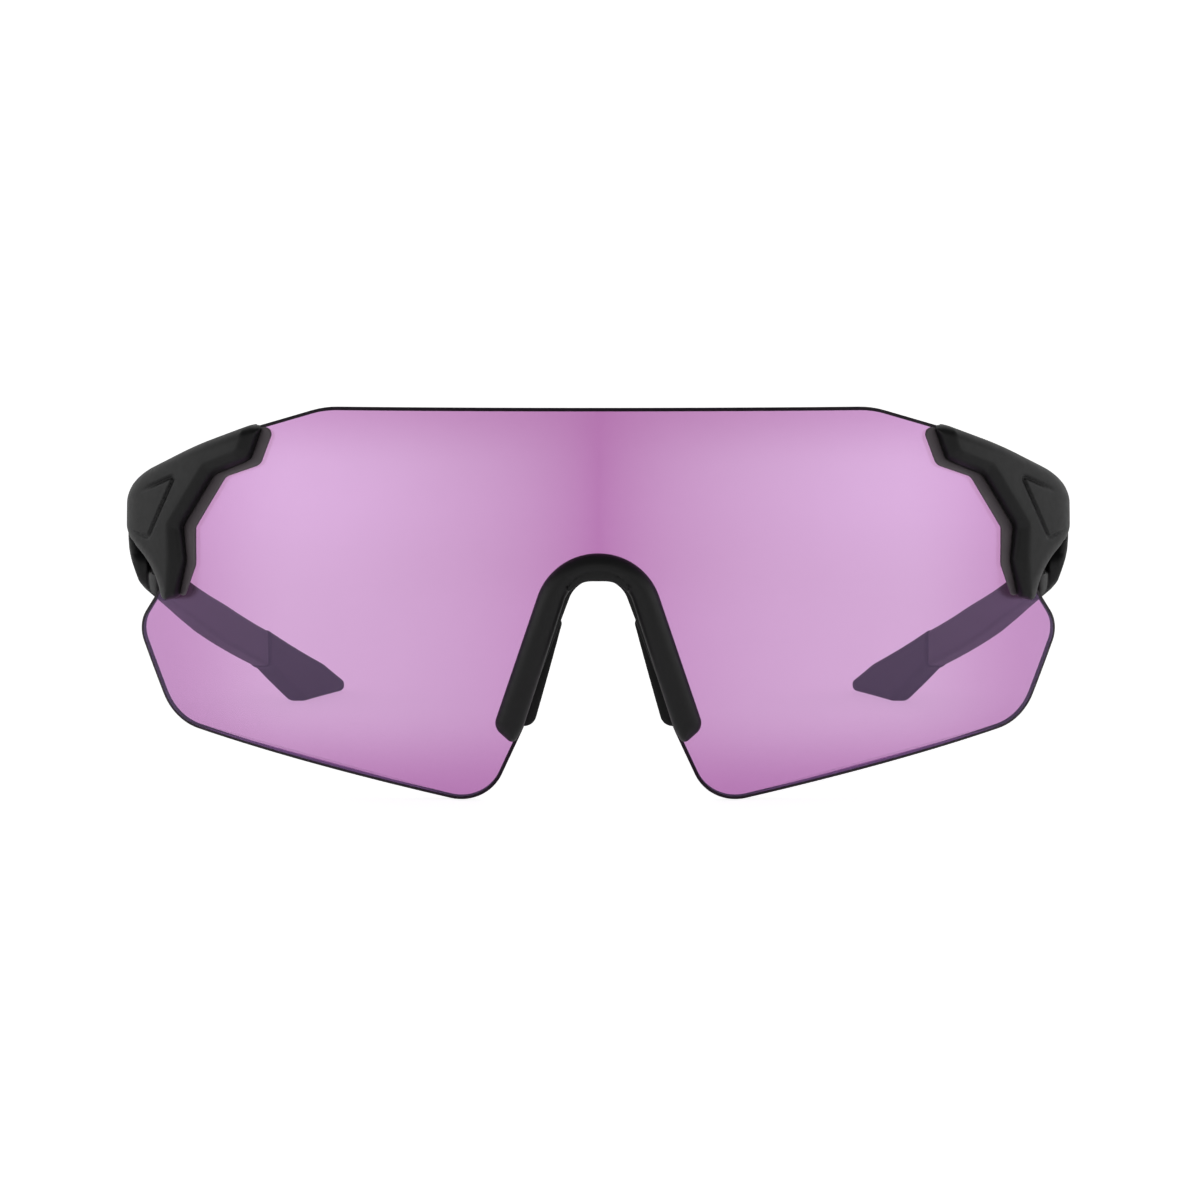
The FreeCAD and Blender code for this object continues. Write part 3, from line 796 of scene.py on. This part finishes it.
def mottled(nodes, links, target, scale, low, high):
    """Drives a socket with noise between two values or colours."""
    place = add_node(nodes, "ShaderNodeTexCoord")
    noise = add_node(nodes, "ShaderNodeTexNoise", Scale=scale, Detail=3.0)
    blend = nodes.new("ShaderNodeValToRGB")
    blend.color_ramp.elements[0].position = 0.3
    blend.color_ramp.elements[1].position = 0.7
    if np.isscalar(low):
        low, high = (low,) * 3, (high,) * 3
    blend.color_ramp.elements[0].color = (*low, 1)
    blend.color_ramp.elements[1].color = (*high, 1)
    links.new(place.outputs["Object"], noise.inputs["Vector"])
    links.new(noise.outputs["Fac"], blend.inputs["Fac"])
    links.new(blend.outputs["Color"], target)


def grained(nodes, links, shader, scale, strength, distance):
    """A fine moulded grain in the surface's bump."""
    place = add_node(nodes, "ShaderNodeTexCoord")
    noise = add_node(nodes, "ShaderNodeTexNoise", Scale=scale, Detail=2.0, Roughness=0.6)
    bump = add_node(nodes, "ShaderNodeBump", Strength=strength, Distance=distance)
    links.new(place.outputs["Object"], noise.inputs["Vector"])
    links.new(noise.outputs["Fac"], bump.inputs["Height"])
    links.new(bump.outputs["Normal"], shader.inputs["Normal"])


def soft_touch(name, low, high, rough_low, rough_high):
    """Matte moulded nylon or rubber, with a fine spark-eroded grain."""
    material, nodes, links, shader = new_material(name)
    mottled(nodes, links, shader.inputs["Base Color"], 260.0, low, high)
    mottled(nodes, links, shader.inputs["Roughness"], 900.0, rough_low, rough_high)
    grained(nodes, links, shader, 5200.0, 0.25, 0.00003)
    shader.inputs["Specular IOR Level"].default_value = 0.5
    return material


def turned_metal(name, low, high, rough_low, rough_high):
    material, nodes, links, shader = new_material(name)
    shader.inputs["Metallic"].default_value = 1.0
    mottled(nodes, links, shader.inputs["Base Color"], 1500.0, low, high)
    mottled(nodes, links, shader.inputs["Roughness"], 3000.0, rough_low, rough_high)
    grained(nodes, links, shader, 9000.0, 0.2, 0.00001)
    return material


def position(nodes, links):
    """Sockets with the sideways distance from the mid plane and the height, in millimetres."""
    place = add_node(nodes, "ShaderNodeTexCoord")
    split = add_node(nodes, "ShaderNodeSeparateXYZ")
    links.new(place.outputs["Object"], split.inputs["Vector"])
    sideways = maths(nodes, links, "ABSOLUTE", split.outputs["X"])
    return [maths(nodes, links, "DIVIDE", s, MM) for s in (sideways, split.outputs["Z"])]


def maths(nodes, links, operation, *values):
    """A math node's result, from sockets and numbers."""
    node = add_node(nodes, "ShaderNodeMath", operation=operation)
    for socket, value in zip(node.inputs, values):
        if isinstance(value, (int, float)):
            socket.default_value = value
        else:
            links.new(value, socket)
    return node.outputs["Value"]


def smooth_range(nodes, links, source, low, high, out_low, out_high):
    node = add_node(nodes, "ShaderNodeMapRange", interpolation_type="SMOOTHSTEP")
    limits = {"From Min": low, "From Max": high, "To Min": out_low, "To Max": out_high}
    for key, value in limits.items():
        node.inputs[key].default_value = value
    links.new(source, node.inputs["Value"])
    return node.outputs["Result"]


def tint_and_painted_reflection(nodes, links, target):
    """The lens's own violet tint, dense down the middle, with a painted reflection of the side lights: a
    lighter field on each side, fading towards the outer ends, the top and the bottom.
    """
    x, z = position(nodes, links)
    from_middle = maths(nodes, links, "DIVIDE", x, -PAINTED_REFLECTION_FADE)
    rise = maths(nodes, links, "SUBTRACT", 1.0, maths(nodes, links, "EXPONENT", from_middle))
    fall = smooth_range(nodes, links, x, 44.0, 66.0, 1.0, 0.45)
    below = smooth_range(nodes, links, z, 0.0, 14.0, 0.1, 1.0)
    above = smooth_range(nodes, links, z, 48.0, 60.0, 1.0, 0.4)
    light = maths(nodes, links, "MULTIPLY", rise, fall)
    light = maths(nodes, links, "MULTIPLY", light, below)
    light = maths(nodes, links, "MULTIPLY", light, above)
    place = add_node(nodes, "ShaderNodeTexCoord")
    noise = add_node(nodes, "ShaderNodeTexNoise", Scale=40.0, Detail=2.0)
    links.new(place.outputs["Object"], noise.inputs["Vector"])
    drift = maths(nodes, links, "MULTIPLY_ADD", noise.outputs["Fac"], 0.06, -0.03)
    blend = nodes.new("ShaderNodeValToRGB")
    blend.color_ramp.elements[0].color = (*TINT_DENSE, 1)
    blend.color_ramp.elements[1].color = (*TINT_WITH_PAINTED_REFLECTION, 1)
    links.new(maths(nodes, links, "ADD", light, drift), blend.inputs["Fac"])
    links.new(blend.outputs["Color"], target)


def mirror_coat():
    """Tinted polycarbonate with a mirror coat: part seen through, part mirrored, more at a slant."""
    material, nodes, links, shader = new_material("mirror_coat")
    nodes.remove(shader)
    clear = add_node(nodes, "ShaderNodeBsdfTransparent")
    # The see-through colour holds the lens's tint plus a painted reflection of the side lights.
    tint_and_painted_reflection(nodes, links, clear.inputs["Color"])
    see_and_mirror(nodes, links, clear, (0.64, 0.46, 0.84), 0.22, 0.7, 0.25)
    return material


def lens_back():
    """The uncoated inner face, which only mirrors at a slant."""
    material, nodes, links, shader = new_material("lens_back")
    nodes.remove(shader)
    clear = add_node(nodes, "ShaderNodeBsdfTransparent")
    mottled(nodes, links, clear.inputs["Color"], 30.0, (0.955, 0.95, 0.955), (0.975, 0.97, 0.975))
    see_and_mirror(nodes, links, clear, (0.9, 0.8, 0.92), 0.01, 0.35, 0.05)
    return material


def see_and_mirror(nodes, links, clear, mirror_tint, low_share, high_share, roughness):
    """Mixes a clear shader with a mirror, whose share grows at a slant."""
    mirror = add_node(nodes, "ShaderNodeBsdfAnisotropic", Roughness=roughness)
    dim = [0.97 * c for c in mirror_tint]
    mottled(nodes, links, mirror.inputs["Color"], 12.0, mirror_tint, dim)
    facing = add_node(nodes, "ShaderNodeLayerWeight", Blend=0.5)
    slant = maths(nodes, links, "POWER", facing.outputs["Facing"], 4.0)
    share = add_node(nodes, "ShaderNodeMapRange")
    share.inputs["To Min"].default_value = low_share
    share.inputs["To Max"].default_value = high_share
    mix = add_node(nodes, "ShaderNodeMixShader")
    links.new(slant, share.inputs["Value"])
    links.new(share.outputs["Result"], mix.inputs["Fac"])
    links.new(clear.outputs["BSDF"], mix.inputs[1])
    links.new(mirror.outputs["BSDF"], mix.inputs[2])
    links.new(mix.outputs["Shader"], nodes["Material Output"].inputs["Surface"])


def lens_edge_painted_shade():
    """The polished cut edge, coloured near-black: painted shade standing in for the light trapped in it.
    """
    material, nodes, links, shader = new_material("lens_edge_painted_shade")
    mottled(nodes, links, shader.inputs["Base Color"], 300.0, (0.018, 0.008, 0.018), (0.03, 0.014, 0.03))
    mottled(nodes, links, shader.inputs["Roughness"], 800.0, 0.45, 0.6)
    shader.inputs["Specular IOR Level"].default_value = 0.12
    return material


def pale_floor():
    material, nodes, links, shader = new_material("pale_floor")
    mottled(nodes, links, shader.inputs["Base Color"], 6.0, (0.78, 0.78, 0.78), (0.8, 0.8, 0.8))
    shader.inputs["Roughness"].default_value = 1.0
    shader.inputs["Specular IOR Level"].default_value = 0.0
    shader.inputs["Emission Color"].default_value = (1, 1, 1, 1)
    links.new(seen_or_lit(nodes, links, FLOOR_GLOW, FLOOR_BOUNCE), shader.inputs["Emission Strength"])
    return material


def seen_or_lit(nodes, links, seen, lit):
    """One strength for what the camera sees, and another, a number or a socket, for what lights."""
    path = add_node(nodes, "ShaderNodeLightPath")
    pick = add_node(nodes, "ShaderNodeMix", data_type="FLOAT")
    pick.inputs["B"].default_value = seen
    links.new(path.outputs["Is Camera Ray"], pick.inputs["Factor"])
    if isinstance(lit, float):
        pick.inputs["A"].default_value = lit
    else:
        links.new(lit, pick.inputs["A"])
    return pick.outputs["Result"]


# ---------------------------------------------------------------- stage
WORLD_AHEAD = 0.4
WORLD_SIDE = 0.88
WORLD_BEHIND = 0.3          # of the side's strength
WORLD_LOW = 0.6             # of the full strength, at the horizon
WORLD_ABOVE = 0.12          # of the full strength, overhead
FLOOR_GLOW = 0.85           # to the camera
FLOOR_BOUNCE = 0.22         # as a light
CAMERA_DISTANCE = 500.0     # in front of the lens
CAMERA_HEIGHT = 67.05
CAMERA_AIM_Z = 29.8
CAMERA_LENS = 104.9         # focal length, on a sensor 36 wide


def make_floor(material):
    """A floor that curves up into a backdrop well behind the object."""
    half, front, back, bend = 3.0, -3.0, 1.6, 0.8
    profile = [(front, 0.0), (0.0, 0.0), (back - bend, 0.0)]
    for k in range(1, 13):
        angle = math.pi / 2 * k / 12
        profile.append((back - bend + bend * math.sin(angle), bend - bend * math.cos(angle)))
    profile.append((back, 4.0))
    points = [(x, y, z) for y, z in profile for x in (-half, half)]
    faces = [(2 * i, 2 * i + 1, 2 * i + 3, 2 * i + 2) for i in range(len(profile) - 1)]
    mesh = bpy.data.meshes.new("floor")
    mesh.from_pydata(points, [], faces)
    mesh.materials.append(material)
    mesh.polygons.foreach_set("use_smooth", [True] * len(faces))
    floor = bpy.data.objects.new("floor", mesh)
    bpy.context.scene.collection.objects.link(floor)


def make_world():
    """Soft studio surroundings: bright to the sides, dimmer ahead, behind and above."""
    world = bpy.data.worlds.new("studio")
    bpy.context.scene.world = world
    world.use_nodes = True
    nodes, links = world.node_tree.nodes, world.node_tree.links
    place = add_node(nodes, "ShaderNodeTexCoord")
    split = add_node(nodes, "ShaderNodeSeparateXYZ")
    links.new(place.outputs["Generated"], split.inputs["Vector"])
    back, up = split.outputs["Y"], split.outputs["Z"]
    lit = smooth_range(nodes, links, back, -1.0, -0.45, WORLD_AHEAD, WORLD_SIDE)
    for source, low, high, at_low, at_high in (
        (back, 0.2, 0.8, 1.0, WORLD_BEHIND),
        (up, 0.0, 0.25, WORLD_LOW, 1.0),
        (up, 0.25, 0.7, 1.0, WORLD_ABOVE),
    ):
        share = smooth_range(nodes, links, source, low, high, at_low, at_high)
        lit = maths(nodes, links, "MULTIPLY", lit, share)
    strength = seen_or_lit(nodes, links, 1.0, lit)
    links.new(strength, nodes["Background"].inputs["Strength"])
    nodes["Background"].inputs["Color"].default_value = (1, 1, 1, 1)


def make_camera():
    place = Vector((0, (APEX_Y - CAMERA_DISTANCE) * MM, CAMERA_HEIGHT * MM))
    aim = Vector((0, APEX_Y * MM, CAMERA_AIM_Z * MM))
    lens = bpy.data.cameras.new("camera")
    lens.sensor_width = 36.0
    lens.lens = CAMERA_LENS
    lens.clip_start = 0.01
    lens.shift_x = 0.0014
    camera = bpy.data.objects.new("camera", lens)
    camera.location = place
    camera.rotation_euler = (aim - place).to_track_quat("-Z", "Y").to_euler()
    bpy.context.scene.collection.objects.link(camera)
    bpy.context.scene.camera = camera


# ---------------------------------------------------------------- build
def repaint(names, material):
    """Gives carried-over CAD nodes a finished material."""
    for name in names:
        node = frame["nodes"][name]
        for holder in [node] + list(node.children_recursive):
            if holder.type == "MESH":
                for place in holder.material_slots:
                    place.material = material


def both(node):
    return ["left_" + node, "right_" + node]


def main():
    bpy.context.scene.view_settings.view_transform = "Standard"
    make_camera()
    make_world()
    make_floor(pale_floor())

    nylon = soft_touch("black_nylon", (0.005, 0.0052, 0.0055), (0.007, 0.0072, 0.0076), 0.36, 0.44)
    grey_rubber = soft_touch("grey_rubber", (0.15, 0.128, 0.142), (0.18, 0.155, 0.17), 0.5, 0.6)
    rubber = soft_touch("black_rubber", (0.006, 0.006, 0.0062), (0.009, 0.009, 0.0093), 0.55, 0.65)
    white_nylon = soft_touch("white_nylon", (0.62, 0.61, 0.57), (0.68, 0.67, 0.63), 0.4, 0.5)
    steel = turned_metal("steel", (0.52, 0.52, 0.54), (0.62, 0.62, 0.63), 0.22, 0.34)
    brass = turned_metal("brass", (0.66, 0.47, 0.20), (0.76, 0.57, 0.28), 0.25, 0.36)

    # Each field is searched in the box between two corners, on a grid of the step given.
    make_lens(mirror_coat(), lens_back(), lens_edge_painted_shade())
    points, faces = surface(nose_frame_field, (-16, -3, 7), (16, 9, 38), 0.22)
    dress(new_object("nose_frame_look", points, faces, [nylon]), "front", "black_nylon", "nose_frame")
    moulded("nose_pad", nose_pad_field, (4, 2, 9), (17, 16, 28), 0.2, rubber, "black_rubber")
    moulded("bracket", bracket_field, (48, 8, 26), (74, 50, 56), 0.25, nylon, "black_nylon")
    moulded("lens_gasket", gasket_field, (47, 13, 27), (67, 32, 56), 0.2, grey_rubber, "grey_rubber")
    moulded("lens_clip", clip_field, (47, 14, 27), (67, 38, 56), 0.22, nylon, "black_nylon")
    moulded("hinge_screw", hinge_screw_field, (64, 44, 30), (68, 49, 43), 0.08, steel, "steel")
    make_clip_screws(steel)
    moulded("temple", temple_field, (46, 35, 7), (74, 127, 45), 0.35, nylon, "black_nylon", "temple")
    moulded("temple_tip", tip_field, (48, 126, -0.5), (62, 167, 16), 0.3, rubber, "black_rubber", "temple")

    repaint(both("lens_sleeves"), white_nylon)
    repaint(both("clip_inserts") + both("hinge_insert"), brass)
    repaint(both("temple_core"), steel)


main()
